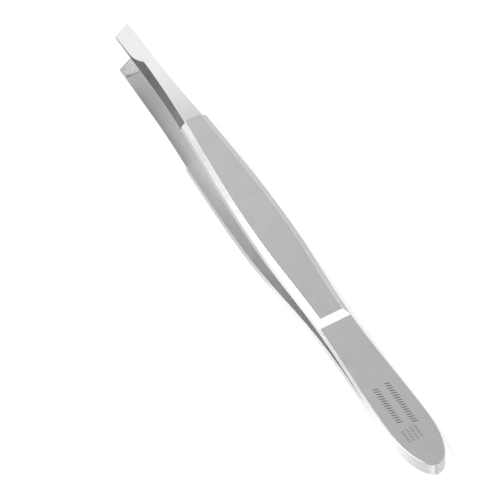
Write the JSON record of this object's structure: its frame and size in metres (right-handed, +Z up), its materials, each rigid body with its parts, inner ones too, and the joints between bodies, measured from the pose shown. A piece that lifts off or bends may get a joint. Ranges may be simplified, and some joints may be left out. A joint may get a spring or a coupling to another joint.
{
  "type": "slant tweezers",
  "caption": "Slim steel tweezers: sprung arms joined at a leaf-shaped heel, flat bevelled grips, and narrow slanted tips with grooved gripping pads.",
  "frame": {"origin": "middle of the footprint, on the surface that the tweezers lie on, on their side", "axes": "+X from the heel to the tips, +Y from the front arm to the back arm, the way the back arm opens, +Z up, across the arms, towards the short side of the slant"},
  "size_m": [0.09, 0.0112, 0.0062],
  "materials": {
    "arm_steel": "satin ground, with polished bevels",
    "weld_steel": "as welded, inside the heel"
  },
  "bodies": {
    "heel": {"front_heel_leaf": "arm_steel", "back_heel_leaf": "arm_steel", "heel_weld_nuggets": "weld_steel"},
    "front_arm": {"front_arm": "arm_steel"},
    "back_arm": {"back_arm": "arm_steel"}
  },
  "joints": [
    {"name": "front_arm_flex", "type": "hinge", "parent": "heel", "child": "front_arm", "pos_m": [-0.027, -0.00078, 0.00313], "axis": [0, 0, 1], "range_deg": [-1.5, 2.79], "stiffness_Nm_per_rad": 2.5},
    {"name": "back_arm_flex", "type": "hinge", "parent": "heel", "child": "back_arm", "pos_m": [-0.027, 0.00078, 0.00313], "axis": [0, 0, -1], "range_deg": [-1.5, 2.79], "stiffness_Nm_per_rad": 2.5}
  ]
}
